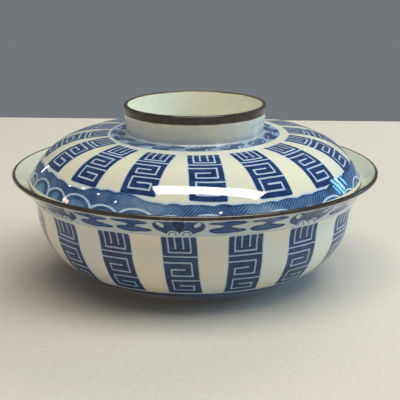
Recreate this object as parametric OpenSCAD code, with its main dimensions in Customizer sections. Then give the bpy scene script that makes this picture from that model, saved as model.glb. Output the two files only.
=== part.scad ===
// Lidded donburi bowl: a flared porcelain bowl on a turned foot ring, and a domed
// lid that drops inside the flare and carries a ring grip. All sizes in millimetres.
// The origin is the centre of the foot ring's contact face, +Z up.

/* [Bowl] */
// Outer diameter over the lip
rim_d = 190; // [160:1:210]
// Height of the bowl alone, foot to lip
bowl_h = 57; // [50:0.5:66]
// How far the lip stands out past the waist, where the flare turns into the belly
flare_out = 12.1; // [10:0.1:14]
// Height of the flare, from waist to lip
flare_rise = 20.5; // [17:0.5:24]
// Slope of the flare at the lip, in degrees from level
flare_angle = 42; // [34:1:52]
// Wall thickness at the lip
lip_t = 2.2; // [1.8:0.1:3]
// Wall thickness at the waist
wall_t = 3.2; // [2.6:0.1:4.2]
// Thickness of the floor over the foot
floor_t = 3.8; // [3:0.1:5]

/* [Foot ring] */
// Outer diameter of the foot ring
foot_d = 101; // [80:1:112]
// Height of the foot ring
foot_h = 4.8; // [4.4:0.1:8]
// Radial thickness of the foot ring where it meets the floor
foot_wall = 4.4; // [3.4:0.1:7]
// How much the foot ring draws in from its root to its contact face
foot_taper = 0.6; // [0.2:0.1:1.2]
// Corner radius on the foot ring's contact face
foot_corner = 0.8; // [0.3:0.1:1.2]

/* [Lid] */
// How far in from the lip the lid's rounded edge sits
lid_inset = 8.5; // [7:0.1:10]
// Rise from the middle of the edge to the flat crown
dome_rise = 23.2; // [16:0.1:32]
// Thickness of the lid
lid_t = 3; // [2.4:0.1:3.6]
// Slope of the dome at its edge, in degrees from level
edge_angle = 61; // [50:1:72]
// Width of the flat crown that shows round the root of the ring grip
crown_ledge = 2.6; // [1:0.1:8]

/* [Ring grip] */
// Outer diameter of the ring grip at its lip
grip_d = 73.8; // [60:0.2:75]
// Height of the ring grip above the crown
grip_h = 15; // [10:0.1:20]
// Thickness of the ring grip at its lip
grip_lip_t = 2.2; // [2:0.1:3]
// Thickness of the ring grip at its root
grip_root_t = 3.4; // [2.6:0.1:4.4]
// How much the ring grip draws in from its lip to its root, each side
grip_taper = 1.5; // [0.4:0.1:3]
// Corner radius on the ring grip's lip
grip_corner = 0.7; // [0.3:0.1:0.9]

/* [Brown lip glaze] */
// Height of the brown glaze band on the bowl's lip
rim_glaze_h = 2; // [1.5:0.1:4]
// Height of the brown glaze band on the ring grip's lip
grip_glaze_h = 3; // [2:0.1:5]

/* [Fit] */
// Gap between the lid's edge and the inside of the flare
seat_gap = 0.3; // [0.2:0.05:0.8]

/* [Hidden] */
$fn = 144;
porcelain = "#e6e6da";
foot_white = "#d8d6c8";
lid_blue = "#6f8bb4";
iron_brown = "#41372f";

// Handle lengths of the wall's two curves, as shares of the rise or width they span
rim_handle_share = 0.24;
waist_up_share = 0.54;
waist_down_share = 0.44;
waist_lean_share = 0.085;
foot_handle_share = 0.63;
// Handle lengths of the dome's curve, as shares of its rise and of its width
edge_handle_share = 0.84;
crown_handle_share = 0.58;
// Steps along one curve, round one corner, and in each short end of the lip's rounding
curve_steps = 14;
corner_steps = 6;
end_steps = 3;
// How far a cutting body reaches past what it cuts
cut_over = 1;

rim_r = rim_d / 2;
waist_r = rim_r - flare_out;
foot_r = foot_d / 2;
lid_r = rim_r - lid_inset;
grip_r = grip_d / 2;
grip_root_r = grip_r - grip_taper;
crown_r = grip_root_r + crown_ledge;
lip_r = lip_t / 2;
edge_r = lid_t / 2;

function bezier(p, t) =
    pow(1 - t, 3) * p[0] + 3 * pow(1 - t, 2) * t * p[1] + 3 * (1 - t) * t * t * p[2] + pow(t, 3) * p[3];
function bezier_way(p, t) =
    pow(1 - t, 2) * (p[1] - p[0]) + 2 * (1 - t) * t * (p[2] - p[1]) + t * t * (p[3] - p[2]);
function unit(v) = v / norm(v);
function left_of(v) = [-v[1], v[0]];
function right_of(v) = [v[1], -v[0]];
function along(angle) = [cos(angle), sin(angle)];
function arc(centre, radius, from, to, steps = corner_steps) =
    [for (i = [0:steps]) centre + radius * along(from + (to - from) * i / steps)];
function tail(list) = [for (i = [1:len(list) - 1]) list[i]];
// A half-round end that keeps its topmost and outermost points
function round_end(centre, radius, from, to) = concat(
    arc(centre, radius, from, 90, end_steps),
    tail(arc(centre, radius, 90, 0)),
    tail(arc(centre, radius, 0, to, end_steps))
);
function reversed(list) = [for (i = [len(list) - 1:-1:0]) list[i]];

// The bowl's lip is a half-round end, whose middle is lip_middle
lip_middle = [rim_r - lip_r, bowl_h - lip_r];
flare_way = along(flare_angle);
lip_outer = lip_middle + lip_r * right_of(flare_way);
waist = [waist_r, bowl_h - flare_rise];
waist_way = [-waist_lean_share, -1];
wall_end = [foot_r, foot_h];
belly_drop = waist[1] - foot_h;
belly_width = waist_r - foot_r;

flare_curve = [
    lip_outer,
    lip_outer - flare_rise * rim_handle_share * flare_way,
    waist - flare_rise * waist_up_share * waist_way,
    waist
];
belly_curve = [
    waist,
    waist + belly_drop * waist_down_share * waist_way,
    wall_end + [belly_width * foot_handle_share, 0],
    wall_end
];

// Points of a curve moved sideways, by a distance that grows evenly from near to far
function inside_of(curve, near, far) = [
    for (i = [0:curve_steps])
        let (t = i / curve_steps)
        bezier(curve, t) + (near + (far - near) * t) * right_of(unit(bezier_way(curve, t)))
];
function on(curve) = [for (i = [0:curve_steps]) bezier(curve, i / curve_steps)];

wall_inner = concat(
    inside_of(flare_curve, lip_t, wall_t),
    tail(inside_of(belly_curve, wall_t, floor_t))
);

// The lid rests where the middle of its round edge meets the flare's inside, one gap away
seat_track = inside_of(flare_curve, lip_t + edge_r + seat_gap, wall_t + edge_r + seat_gap);
seat_z = lookup(lid_r - edge_r, seat_track);
edge_middle = [lid_r - edge_r, seat_z];
dome_way = [-cos(edge_angle), sin(edge_angle)];
dome_start = edge_middle + edge_r * right_of(dome_way);
crown_z = seat_z + dome_rise;
dome_curve = [
    dome_start,
    dome_start + dome_rise * edge_handle_share * dome_way,
    [crown_r + (lid_r - crown_r) * crown_handle_share, crown_z],
    [crown_r, crown_z]
];
dome_inner = [
    for (i = [0:curve_steps])
        let (t = i / curve_steps)
        bezier(dome_curve, t) + lid_t * left_of(unit(bezier_way(dome_curve, t)))
];
total_h = crown_z + grip_h;

module bowl_section() {
    polygon(concat(
        round_end(lip_middle, lip_r, flare_angle + 90, flare_angle - 90),
        tail(on(flare_curve)),
        tail(on(belly_curve)),
        [[0, foot_h], [0, foot_h + floor_t]],
        reversed(tail(wall_inner))
    ));
}

// Everything above the lower edge of the bowl's brown lip
module above_rim_glaze() {
    translate([0, 0, bowl_h - rim_glaze_h])
        cylinder(r = rim_r + cut_over, h = rim_glaze_h + cut_over);
}

// Everything above the lower edge of the ring grip's brown lip
module above_grip_glaze() {
    translate([0, 0, total_h - grip_glaze_h])
        cylinder(r = grip_r + cut_over, h = grip_glaze_h + cut_over);
}

module bowl_body() {
    color(porcelain) difference() {
        rotate_extrude() bowl_section();
        above_rim_glaze();
    }
}

module bowl_rim_glaze() {
    color(iron_brown) intersection() {
        rotate_extrude() bowl_section();
        above_rim_glaze();
    }
}

// The foot draws in towards the table on both faces and has two rounded corners there
module bowl_foot_ring() {
    outer_r = foot_r - foot_taper;
    inner_r = foot_r - foot_wall + foot_taper;
    color(foot_white) rotate_extrude() polygon(concat(
        [[foot_r - foot_wall, foot_h]],
        arc([inner_r + foot_corner, foot_corner], foot_corner, 180, 270),
        arc([outer_r - foot_corner, foot_corner], foot_corner, 270, 360),
        [[foot_r, foot_h]]
    ));
}

module lid_dome() {
    color(lid_blue) rotate_extrude() polygon(concat(
        arc(edge_middle, edge_r, -90 - edge_angle, 90 - edge_angle, 2 * corner_steps),
        tail(on(dome_curve)),
        [[0, crown_z], [0, crown_z - lid_t]],
        reversed(tail(dome_inner))
    ));
}

// The ring leans outwards from its root, and its lip has a narrow flat between two corners
module grip_section() {
    corner_z = total_h - grip_corner;
    polygon(concat(
        [[grip_root_r - grip_root_t, crown_z], [grip_root_r, crown_z]],
        arc([grip_r - grip_corner, corner_z], grip_corner, 0, 90),
        arc([grip_r - grip_lip_t + grip_corner, corner_z], grip_corner, 90, 180)
    ));
}

module lid_grip_ring() {
    color(porcelain) difference() {
        rotate_extrude() grip_section();
        above_grip_glaze();
    }
}

module lid_grip_glaze() {
    color(iron_brown) intersection() {
        rotate_extrude() grip_section();
        above_grip_glaze();
    }
}

bowl_body();
bowl_foot_ring();
bowl_rim_glaze();
lid_dome();
lid_grip_ring();
lid_grip_glaze();
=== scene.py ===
from math import pi, radians

import bpy
import numpy as np
from mathutils import Matrix, Vector


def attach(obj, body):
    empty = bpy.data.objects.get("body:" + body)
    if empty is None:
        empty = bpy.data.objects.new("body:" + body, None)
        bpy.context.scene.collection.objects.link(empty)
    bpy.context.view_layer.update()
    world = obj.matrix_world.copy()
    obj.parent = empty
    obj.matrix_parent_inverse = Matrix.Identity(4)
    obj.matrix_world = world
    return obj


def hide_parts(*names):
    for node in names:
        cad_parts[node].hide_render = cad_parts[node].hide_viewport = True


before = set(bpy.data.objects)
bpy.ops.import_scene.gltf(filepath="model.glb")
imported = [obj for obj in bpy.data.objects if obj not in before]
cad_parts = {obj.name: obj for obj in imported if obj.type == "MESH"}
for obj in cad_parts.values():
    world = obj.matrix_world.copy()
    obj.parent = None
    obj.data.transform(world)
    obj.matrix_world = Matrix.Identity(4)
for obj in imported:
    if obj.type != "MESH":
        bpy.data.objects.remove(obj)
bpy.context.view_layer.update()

print("bowl scene: frame loaded")

# Sizes below are in millimetres on the object; meshes are written in metres.
metre = 0.001
panelCount = 16
batCount = 8

bowlShape = {
    "rimRadius": 95.0,
    "height": 57.0,
    "flareOut": 12.1,
    "flareRise": 20.5,
    "flareAngle": 42.0,
    "lipThick": 2.2,
    "wallThick": 3.2,
    "floorThick": 3.8,
    "footRadius": 50.5,
    "footHeight": 4.8,
    "rimHandle": 0.24,
    "waistUp": 0.54,
    "waistDown": 0.44,
    "waistLean": 0.085,
    "footHandle": 0.63,
}
footShape = {"wall": 4.4, "taper": 0.6, "corner": 0.8, "fillet": 1.5, "sink": 0.4}
lidShape = {
    "radius": 86.5,
    "rise": 23.2,
    "thick": 3.0,
    "edgeAngle": 61.0,
    "crownRadius": 38.0,
    "edgeHandle": 0.84,
    "crownHandle": 0.58,
    "seatGap": 0.3,
}
gripShape = {
    "radius": 36.9,
    "height": 15.0,
    "lipThick": 2.2,
    "rootThick": 3.4,
    "taper": 1.5,
    "rootProud": 0.15,
    "corner": 0.75,
    "fillet": 0.9,
    "sink": 0.4,
}


# Curves of the profile

def bezier(p, t):
    # Cubic curve: its four points weighted (1-t)^3, 3(1-t)^2 t, 3(1-t) t^2 and t^3
    t = t[:, None]
    return (1 - t) ** 3 * p[0] + 3 * (1 - t) ** 2 * t * p[1] + 3 * (1 - t) * t ** 2 * p[2] + t ** 3 * p[3]


def bezierWay(p, t):
    # Unit vector along the cubic curve, from its derivative
    t = t[:, None]
    way = (1 - t) ** 2 * (p[1] - p[0]) + 2 * (1 - t) * t * (p[2] - p[1]) + t ** 2 * (p[3] - p[2])
    return way / np.linalg.norm(way, axis=1, keepdims=True)


def rightOf(v):
    return np.stack([v[..., 1], -v[..., 0]], -1)


def along(angle):
    return np.array([np.cos(np.radians(angle)), np.sin(np.radians(angle))])


def arc(centre, radius, start, end, steps=10):
    angles = np.radians(np.linspace(start, end, steps + 1))
    return np.asarray(centre) + radius * np.stack([np.cos(angles), np.sin(angles)], 1)


def straight(start, end, steps):
    share = np.linspace(0, 1, steps + 1)[:, None]
    return np.asarray(start, float) * (1 - share) + np.asarray(end, float) * share


def joined(*parts):
    # Runs of points one after another, without the points that two runs share
    points = np.vstack(parts)
    keep = np.r_[True, np.linalg.norm(np.diff(points, axis=0), axis=1) > 1e-6]
    return points[keep]


def wayAlong(section):
    # Distance run along an open line of points, starting at zero
    return np.r_[0, np.cumsum(np.linalg.norm(np.diff(section, axis=0), axis=1))]


def outwardOf(section):
    # Unit normals of a line of points, to its left as it runs
    way = np.gradient(section, axis=0)
    way /= np.linalg.norm(way, axis=1, keepdims=True)
    return -rightOf(way)


def bowlSection():
    # The wall's outer line is two cubic curves, flare and belly. The inner line is the outer one moved
    # in by a thickness that grows from lip to floor. The line runs from the middle of the floor inside,
    # up, over the half-round lip, down the outside, and under to the middle of the base.
    s = bowlShape
    lipR = s["lipThick"] / 2
    lipMiddle = np.array([s["rimRadius"] - lipR, s["height"] - lipR])
    flareWay = along(s["flareAngle"])
    lipOuter = lipMiddle + lipR * rightOf(flareWay)
    waist = np.array([s["rimRadius"] - s["flareOut"], s["height"] - s["flareRise"]])
    waistWay = np.array([-s["waistLean"], -1.0])
    wallEnd = np.array([s["footRadius"], s["footHeight"]])
    drop = waist[1] - s["footHeight"]
    width = waist[0] - s["footRadius"]
    flare = np.array([
        lipOuter,
        lipOuter - s["flareRise"] * s["rimHandle"] * flareWay,
        waist - s["flareRise"] * s["waistUp"] * waistWay,
        waist,
    ])
    belly = np.array([
        waist,
        waist + drop * s["waistDown"] * waistWay,
        wallEnd + [width * s["footHandle"], 0],
        wallEnd,
    ])
    t = np.linspace(0, 1, 37)

    def inside(curve, near, far):
        return bezier(curve, t) + (near + (far - near) * t)[:, None] * rightOf(bezierWay(curve, t))

    innerWall = joined(
        inside(flare, s["lipThick"], s["wallThick"]),
        inside(belly, s["wallThick"], s["floorThick"]),
    )[::-1]
    lip = arc(lipMiddle, lipR, s["flareAngle"] + 90, s["flareAngle"] - 90, 16)
    section = joined(
        straight([0, s["footHeight"] + s["floorThick"]], innerWall[0], 14),
        innerWall,
        lip,
        bezier(flare, t),
        bezier(belly, t),
        straight(wallEnd, [0, s["footHeight"]], 14),
    )
    return section, flare


def lidSeat(flare):
    # Height of the middle of the lid's round edge, one gap away from the inside of the flare
    s = lidShape
    t = np.linspace(0, 1, 200)
    edgeR = s["thick"] / 2
    reach = edgeR + s["seatGap"]
    near = bowlShape["lipThick"] + reach
    far = bowlShape["wallThick"] + reach
    track = bezier(flare, t) + (near + (far - near) * t)[:, None] * rightOf(bezierWay(flare, t))
    order = np.argsort(track[:, 0])
    return float(np.interp(s["radius"] - edgeR, track[order, 0], track[order, 1]))


def lidSection(seatZ):
    # One cubic curve from the round edge to the flat crown, and the same curve moved in by the
    # thickness. The line runs from the middle of the crown out, round the edge, and back underneath.
    s = lidShape
    edgeR = s["thick"] / 2
    edgeMiddle = np.array([s["radius"] - edgeR, seatZ])
    domeWay = np.array([-along(s["edgeAngle"])[0], along(s["edgeAngle"])[1]])
    start = edgeMiddle + edgeR * rightOf(domeWay)
    crownZ = seatZ + s["rise"]
    dome = np.array([
        start,
        start + s["rise"] * s["edgeHandle"] * domeWay,
        [s["crownRadius"] + (s["radius"] - s["crownRadius"]) * s["crownHandle"], crownZ],
        [s["crownRadius"], crownZ],
    ])
    t = np.linspace(0, 1, 61)
    top = bezier(dome, t)
    under = top - s["thick"] * rightOf(bezierWay(dome, t))
    section = joined(
        straight([0, crownZ], top[-1], 12),
        top[::-1],
        arc(edgeMiddle, edgeR, 90 - s["edgeAngle"], -90 - s["edgeAngle"], 14),
        under,
        straight(under[-1], [0, crownZ - s["thick"]], 12),
    )
    return section, crownZ


def gripSection(crownZ):
    # A wall that leans out from root to lip, with two rounded corners on the lip and a small hollow
    # fillet on each side of the root, closed by a line just under the crown
    s = gripShape
    topZ = crownZ + s["height"]
    rootR = s["radius"] - s["taper"]
    fillet = s["fillet"]
    corner = s["corner"]
    cornerZ = topZ - corner
    outerRoot = rootR + s["rootProud"]
    innerRoot = rootR - s["rootThick"]
    return joined(
        straight([innerRoot - fillet, crownZ - s["sink"]], [innerRoot - fillet, crownZ], 2),
        arc([innerRoot - fillet, crownZ + fillet], fillet, -90, 0, 8),
        straight([innerRoot, crownZ + fillet], [s["radius"] - s["lipThick"], cornerZ], 18),
        arc([s["radius"] - s["lipThick"] + corner, cornerZ], corner, 180, 90, 8),
        arc([s["radius"] - corner, cornerZ], corner, 90, 0, 8),
        straight([s["radius"], cornerZ], [outerRoot, crownZ + fillet], 18),
        arc([outerRoot + fillet, crownZ + fillet], fillet, 180, 270, 8),
        straight([outerRoot + fillet, crownZ], [outerRoot + fillet, crownZ - s["sink"]], 2),
    )


def footSection():
    # The foot draws in towards the table on both faces, with rounded corners there and a fillet under
    # the wall, and closes just inside the base
    s = footShape
    top = bowlShape["footHeight"]
    outerTop = bowlShape["footRadius"]
    innerTop = outerTop - s["wall"]
    outerR = outerTop - s["taper"]
    innerR = innerTop + s["taper"]
    corner = s["corner"]
    fillet = s["fillet"]
    return joined(
        straight([innerTop - fillet, top + s["sink"]], [innerTop - fillet, top], 2),
        arc([innerTop - fillet, top - fillet], fillet, 90, 0, 8),
        straight([innerTop, top - fillet], [innerR, corner], 8),
        arc([innerR + corner, corner], corner, 180, 270, 8),
        arc([outerR - corner, corner], corner, 270, 360, 8),
        straight([outerR, corner], [outerTop, top - fillet], 8),
        arc([outerTop + fillet, top - fillet], fillet, 180, 90, 8),
        straight([outerTop + fillet, top], [outerTop + fillet, top + s["sink"]], 2),
    )


# Surfaces

thrownWaves = [
    # waves round, waves up the wall per 100 mm, height in mm, phase: what the hand leaves on the wheel
    (2, 0.0, 0.040, 0.4),
    (3, 1.1, 0.022, 2.1),
    (5, 4.3, 0.016, 1.3),
    (7, 7.0, 0.010, 4.0),
    (0, 9.0, 0.012, 0.9),
]
# Nearer the axis than this the waves die out, so that they close at the pole
calmRadius = 20

coatWaves = {
    # waves round, share of the raggedness, phase: how a coat's two edges wander
    "inner": [(3, 0.5, 1.0), (11, 0.35, 0.3), (19, 0.3, 2.2)],
    "outer": [(2, 0.6, 0.5), (9, 0.4, 1.7), (23, 0.35, 0.2), (41, 0.25, 2.9)],
}


def thrown(way, turn):
    # Sum of low waves, each its height x sine of (waves round x angle + waves up x distance + phase)
    return sum(
        height * np.sin(round_ * turn + 2 * pi * up * way / 100 + phase)
        for round_, up, height, phase in thrownWaves
    )


def meshFromGrid(name, x, y, z, way, closedSection):
    # A grid of points, rows along the section and columns round the axis. Columns always close.
    # Rows close on a ring, and otherwise each end row lies on the axis and becomes one pole point.
    rows, columns = x.shape
    cornerCount = rows * columns
    points = np.stack([x, y, z], -1).reshape(-1, 3)
    wayOf = way.reshape(-1)
    index = np.arange(cornerCount).reshape(rows, columns)
    if closedSection:
        upper = np.roll(index, -1, axis=0)
        lower = index
        quads = np.stack([lower, np.roll(lower, -1, 1), np.roll(upper, -1, 1), upper], -1).reshape(-1, 4)
        faces = quads.tolist()
    else:
        inner = index[1:-1] - columns + 1
        first, last = 0, (rows - 2) * columns + 1
        points = np.vstack([points[:1], points[columns:-columns], points[-1:]])
        wayOf = np.r_[wayOf[:1], wayOf[columns:-columns], wayOf[-1:]]
        lower, upper = inner[:-1], inner[1:]
        quads = np.stack([lower, np.roll(lower, -1, 1), np.roll(upper, -1, 1), upper], -1).reshape(-1, 4)
        startFan = np.stack([np.full(columns, first), np.roll(inner[0], -1), inner[0]], -1)
        endFan = np.stack([np.full(columns, last), inner[-1], np.roll(inner[-1], -1)], -1)
        faces = quads.tolist() + startFan.tolist() + endFan.tolist()
    mesh = bpy.data.meshes.new(name)
    mesh.from_pydata(points * metre, [], faces)
    if enclosed(mesh) < 0:
        mesh.flip_normals()
    mesh.attributes.new("way", "FLOAT", "POINT").data.foreach_set("value", wayOf.astype(np.float32))
    mesh.polygons.foreach_set("use_smooth", np.ones(len(mesh.polygons), bool))
    mesh.update()
    piece = bpy.data.objects.new(name, mesh)
    bpy.context.scene.collection.objects.link(piece)
    return piece


def enclosed(mesh):
    # Volume inside the faces: a sixth of the sum of corner triple products over the triangles
    mesh.calc_loop_triangles()
    corners = np.zeros(len(mesh.vertices) * 3)
    mesh.vertices.foreach_get("co", corners)
    triangles = np.zeros(len(mesh.loop_triangles) * 3, np.int64)
    mesh.loop_triangles.foreach_get("vertices", triangles)
    a, b, c = corners.reshape(-1, 3)[triangles.reshape(-1, 3)].transpose(1, 0, 2)
    return float(np.einsum("ij,ij->", a, np.cross(b, c)) / 6)


def lathe(name, section, way, turns, closedSection=False, waviness=1.0):
    # The section's points (r, z) carried round the axis: x = r cos a, y = r sin a
    turn = np.linspace(0, 2 * pi, turns, endpoint=False)[None, :]
    r = section[:, :1] + 0 * turn
    z = section[:, 1:] + 0 * turn
    push = waviness * thrown(way[:, None], turn)
    side = outwardOf(section)
    fade = np.clip(section[:, :1] / calmRadius, 0, 1)
    r = r + side[:, :1] * push * fade
    z = z + side[:, 1:] * push * fade
    return meshFromGrid(name, r * np.cos(turn), r * np.sin(turn), z, way[:, None] + 0 * turn, closedSection)


def coatEdge(coat, edge, turn):
    # One edge of a coat: its mean way plus the sum of share x sine of (waves round x angle + phase)
    waves = sum(share * np.sin(round_ * turn + phase) for round_, share, phase in coatWaves[edge])
    return coat[edge] + coat["ragged"] * waves


def glazeBand(name, section, way, coat, turns):
    # A coat laid on the section between two uneven edges. Across the coat the share s runs 0 to 1, the
    # outer face stands at the coat's height times a bead that is round at both ends, and the inner
    # face lies a little under the porcelain.
    turn = np.linspace(0, 2 * pi, turns, endpoint=False)[None, :]
    s = (1 - np.cos(np.linspace(0, pi, 25))[:, None]) / 2
    across = coatEdge(coat, "inner", turn) * (1 - s) + coatEdge(coat, "outer", turn) * s
    bead = np.sqrt(np.clip(4 * s * (1 - s) * coat["fullness"], 0, 1))
    side = outwardOf(section)
    lift = np.vstack([coat["stand"] * bead, (-coat["under"] + 0 * bead)[::-1]])
    across = np.vstack([across, across[::-1]])
    columns = (section[:, 0], section[:, 1], side[:, 0], side[:, 1])
    grid = [np.interp(across, way, column) for column in columns]
    r = grid[0] + grid[2] * lift
    z = grid[1] + grid[3] * lift
    share = np.vstack([s + 0 * turn, (s + 0 * turn)[::-1]])
    return meshFromGrid(name, r * np.cos(turn), r * np.sin(turn), z, share, True)


def sunkUnder(section, way, coat, ease=0.8):
    # Moves the section in under a coat, easing off past both of the coat's edges
    pastInner = np.clip((way - coat["inner"] + ease) / ease, 0, 1)
    inside = pastInner * np.clip((coat["outer"] + ease - way) / ease, 0, 1)
    return section - outwardOf(section) * (coat["sunk"] * inside * inside * (3 - 2 * inside))[:, None]


coatOfRim = {
    "inner": -0.6,
    "outer": 2.9,
    "stand": -0.02,
    "under": 0.34,
    "ragged": 0.14,
    "sunk": 0.16,
    "fullness": 2.4,
}
coatOfGrip = {**coatOfRim, "inner": -1.5, "outer": 4.9, "ragged": 0.12}

# Ways are counted from the top of each lip, and from the lid's edge
bowlLine, flareCurve = bowlSection()
bowlWay = wayAlong(bowlLine)
bowlWay = bowlWay - bowlWay[np.argmax(bowlLine[:, 1])]
seatZ = lidSeat(flareCurve)
lidLine, crownZ = lidSection(seatZ)
lidWay = wayAlong(lidLine)
lidWay = lidWay[np.argmax(lidLine[:, 0])] - lidWay
gripLine = gripSection(crownZ)
gripWay = wayAlong(gripLine)
gripWay = gripWay - gripWay[np.argmax(gripLine[:, 1] + 0.001 * gripLine[:, 0])]
footLine = footSection()


def bowlWayAt(z):
    # Distance down the outside of the bowl, from the top of the lip to a height
    outer = (bowlWay > 0) & (bowlLine[:, 0] > bowlShape["footRadius"])
    return float(np.interp(-z, -bowlLine[outer, 1], bowlWay[outer]))


def lidWayAt(r):
    # Distance up the outside of the lid, from its edge to a radius
    outer = lidWay > 0
    return float(np.interp(-r, -lidLine[outer, 0][::-1], lidWay[outer][::-1]))


bowlWall = lathe("bowlWall", sunkUnder(bowlLine, bowlWay, coatOfRim), bowlWay, 320)
rimGlaze = glazeBand("rimGlaze", bowlLine, bowlWay, coatOfRim, 480)
footRing = lathe("footRing", footLine, footLine[:, 1], 240, closedSection=True, waviness=0.0)
lidDome = lathe("lidDome", lidLine, lidWay, 320, waviness=0.8)
gripSunk = sunkUnder(gripLine, gripWay, coatOfGrip)
gripRing = lathe("gripRing", gripSunk, gripWay, 240, closedSection=True, waviness=0.6)
gripGlaze = glazeBand("gripGlaze", gripLine, gripWay, coatOfGrip, 360)
print("bowl scene: surfaces made")


# Node desk

class Wire:
    # The output of one node. Arithmetic between wires and numbers adds Math nodes
    def __init__(self, desk, socket):
        self.desk = desk
        self.socket = socket

    def __add__(self, other):
        return self.desk.calc("ADD", self, other)

    def __radd__(self, other):
        return self.desk.calc("ADD", other, self)

    def __sub__(self, other):
        return self.desk.calc("SUBTRACT", self, other)

    def __rsub__(self, other):
        return self.desk.calc("SUBTRACT", other, self)

    def __mul__(self, other):
        return self.desk.calc("MULTIPLY", self, other)

    def __rmul__(self, other):
        return self.desk.calc("MULTIPLY", other, self)

    def __truediv__(self, other):
        return self.desk.calc("DIVIDE", self, other)

    def __rtruediv__(self, other):
        return self.desk.calc("DIVIDE", other, self)

    def __neg__(self):
        return self.desk.calc("MULTIPLY", self, -1.0)


class Desk:
    # Builds one node tree. Nodes are added in the order in which their values are worked out
    def __init__(self, tree):
        self.tree = tree
        self.made = 0

    def add(self, kind, values=(), **settings):
        node = self.tree.nodes.new(kind)
        node.location = (200 * (self.made // 8), -220 * (self.made % 8))
        self.made += 1
        for key, value in settings.items():
            setattr(node, key, value)
        for name, value in dict(values).items():
            self.plug(node.inputs[name], value)
        return node

    def plug(self, socket, value):
        if isinstance(value, Wire):
            self.tree.links.new(value.socket, socket)
        else:
            socket.default_value = value

    def wire(self, node, output=0):
        return Wire(self, node.outputs[output])

    def calc(self, operation, *values, clamp=False):
        node = self.add("ShaderNodeMath", operation=operation, use_clamp=clamp)
        for socket, value in zip(node.inputs, values):
            self.plug(socket, value)
        return self.wire(node)

    def vector(self, operation, *values, output=0):
        node = self.add("ShaderNodeVectorMath", operation=operation)
        for socket, value in zip(node.inputs, values):
            self.plug(socket, value)
        return self.wire(node, output)

    def pair(self, x, y):
        return self.wire(self.add("ShaderNodeCombineXYZ", {"X": x, "Y": y}))

    def parts(self, vector):
        node = self.add("ShaderNodeSeparateXYZ", {"Vector": vector})
        return [self.wire(node, number) for number in range(3)]

    def low(self, first, *others):
        for other in others:
            first = self.calc("MINIMUM", first, other)
        return first

    def high(self, first, *others):
        for other in others:
            first = self.calc("MAXIMUM", first, other)
        return first

    def size(self, value):
        return self.calc("ABSOLUTE", value)

    def sine(self, value):
        return self.calc("SINE", value)

    def ease(self, value, start, end, low=0.0, high=1.0):
        # Goes smoothly from low to high as the value goes from start to end
        span = {"Value": value, "From Min": start, "From Max": end, "To Min": low, "To Max": high}
        return self.wire(self.add("ShaderNodeMapRange", span, interpolation_type="SMOOTHSTEP"))

    def noise(self, spot, scale, detail=2.0, rough=0.5, output=0):
        look = {"Vector": spot, "Scale": scale, "Detail": detail, "Roughness": rough}
        return self.wire(self.add("ShaderNodeTexNoise", look), output)

    def dice(self, value, output=0):
        return self.wire(self.add("ShaderNodeTexWhiteNoise", {"W": value}, noise_dimensions="1D"), output)

    def blend(self, share, first, second, mode="MIX"):
        node = self.add("ShaderNodeMix", data_type="RGBA", blend_type=mode)
        for place, value in ((0, share), (6, first), (7, second)):
            self.plug(node.inputs[place], value)
        return self.wire(node, 2)

    def ellipse(self, spot, centre, radii):
        # Rough distance to an ellipse: (length of (spot - centre) / radii, less 1) times the small radius
        near = self.vector("SUBTRACT", spot, (centre[0], centre[1], 0))
        near = self.vector("DIVIDE", near, (radii[0], radii[1], 1))
        return (self.vector("LENGTH", near, output=1) - 1) * min(radii)

    def stroke(self, spot, start, end):
        # Distance to a stroke that runs level or upright: what is left of the offset past its half length
        middle = ((start[0] + end[0]) / 2, (start[1] + end[1]) / 2, 0)
        half = (abs(end[0] - start[0]) / 2, abs(end[1] - start[1]) / 2, 0)
        away = self.vector("ABSOLUTE", self.vector("SUBTRACT", spot, middle))
        away = self.vector("MAXIMUM", self.vector("SUBTRACT", away, half), (0, 0, 0))
        return self.vector("LENGTH", away, output=1)


# The kind of a group's input by how many numbers it has, and of a result by its label if it isn't a value
inputKinds = {1: "NodeSocketFloat", 3: "NodeSocketVector", 4: "NodeSocketColor"}
resultKinds = {"Offset": "NodeSocketVector", "Normal": "NodeSocketVector", "Color": "NodeSocketColor"}
origin = (0, 0, 0)


def colour(red, green, blue):
    # A colour given as it shows on screen, 0 to 255, as the linear values that nodes use
    screen = np.array([red, green, blue]) / 255
    linear = np.where(screen <= 0.04045, screen / 12.92, ((screen + 0.055) / 1.055) ** 2.4)
    return (*linear.tolist(), 1.0)


def newGroup(name, inputs, *results):
    tree = bpy.data.node_groups.new(name, "ShaderNodeTree")
    for label, value in inputs.items():
        socket = tree.interface.new_socket(label, in_out="INPUT", socket_type=inputKinds[np.size(value)])
        socket.default_value = value
    for label in results:
        kind = resultKinds.get(label, "NodeSocketFloat")
        tree.interface.new_socket(label, in_out="OUTPUT", socket_type=kind)
    desk = Desk(tree)
    entry = desk.add("NodeGroupInput")
    return desk, {label: desk.wire(entry, label) for label in inputs}


def closeGroup(desk, **results):
    leave = desk.add("NodeGroupOutput")
    for label, value in results.items():
        desk.plug(leave.inputs[label.replace("_", " ")], value)
    return desk.tree


def place(desk, group, **values):
    node = desk.add("ShaderNodeGroup", node_tree=group)
    for label, value in values.items():
        desk.plug(node.inputs[label.replace("_", " ")], value)
    return {socket.name: Wire(desk, socket) for socket in node.outputs}


# Shared groups

def makeHandWobble():
    # A slow wander of the brush and a quick tremble, as an offset in mm that is as often one way as the other
    desk, given = newGroup("handWobble", {"Spot": origin, "Wander": 0.5, "Tremble": 0.2}, "Offset")
    moves = []
    for scale, reach in ((95.0, given["Wander"]), (520.0, given["Tremble"])):
        move = desk.vector("SUBTRACT", desk.noise(given["Spot"], scale, 1.0, output=1), (0.5, 0.5, 0.5))
        node = desk.add("ShaderNodeVectorMath", {"Vector": move, "Scale": reach}, operation="SCALE")
        moves.append(desk.wire(node))
    return closeGroup(desk, Offset=desk.vector("ADD", *moves))


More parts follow.
